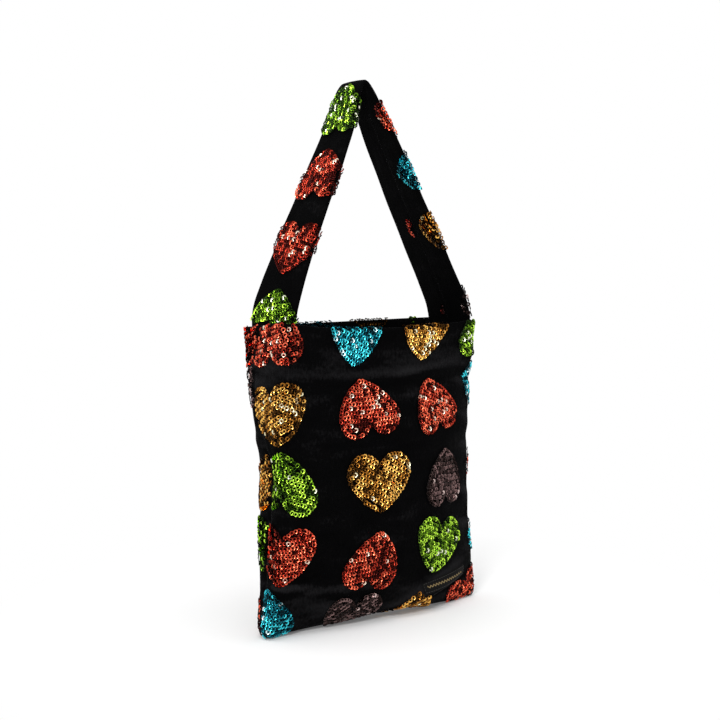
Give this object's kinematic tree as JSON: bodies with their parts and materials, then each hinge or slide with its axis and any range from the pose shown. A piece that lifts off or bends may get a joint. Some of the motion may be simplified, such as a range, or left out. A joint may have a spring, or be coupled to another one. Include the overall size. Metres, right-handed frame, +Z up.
{
  "type": "shoulder bag",
  "caption": "Upright velvet shoulder bag with sequin hearts, an open mouth, a satin lining and one wide soft strap that swings over the mouth.",
  "frame": {"origin": "middle of the base, on the surface the bag stands on", "axes": "+X across the bag to its right as seen from the front, +Y to its back, +Z up"},
  "size_m": [0.2438, 0.0728, 0.5],
  "materials": {
    "velvet": "deep black velvet pile",
    "interlining": "matt woven stiffener",
    "satin": "black satin lining",
    "webbing": "matt woven webbing",
    "thread": "black sewing thread",
    "label": "bare woven label, black with a plain gold edge line",
    "red_sequins": "metallic orange-red cupped sequins",
    "gold_sequins": "metallic gold cupped sequins",
    "green_sequins": "metallic lime green cupped sequins",
    "turquoise_sequins": "metallic turquoise cupped sequins",
    "plum_sequins": "metallic plum brown cupped sequins"
  },
  "bodies": {
    "bag": {"back_facing": "velvet", "back_gold_hearts": "gold_sequins", "back_green_hearts": "green_sequins", "back_interlining": "interlining", "back_lining": "satin", "back_panel": "velvet", "back_plum_hearts": "plum_sequins", "back_red_hearts": "red_sequins", "back_side_allowances": "velvet", "back_turquoise_hearts": "turquoise_sequins", "bottom_seam_tape": "interlining", "front_facing": "velvet", "front_gold_hearts": "gold_sequins", "front_green_hearts": "green_sequins", "front_interlining": "interlining", "front_lining": "satin", "front_panel": "velvet", "front_plum_hearts": "plum_sequins", "front_red_hearts": "red_sequins", "front_side_allowances": "velvet", "front_turquoise_hearts": "turquoise_sequins", "label_stitching": "thread", "left_strap_root": "velvet", "left_strap_stitching": "thread", "left_strap_tab": "velvet", "right_strap_root": "velvet", "right_strap_stitching": "thread", "right_strap_tab": "velvet", "woven_label": "label"},
    "strap": {"strap_sleeve": "velvet", "strap_core": "webbing", "strap_gold_hearts": "gold_sequins", "strap_red_hearts": "red_sequins", "strap_turquoise_hearts": "turquoise_sequins"}
  },
  "joints": [
    {"name": "strap_swing", "type": "hinge", "parent": "bag", "child": "strap", "pos_m": [0, 0, 0.275], "axis": [1, 0, 0], "range_deg": [-115, 115], "deforming": ["left_strap_root", "right_strap_root"]}
  ]
}
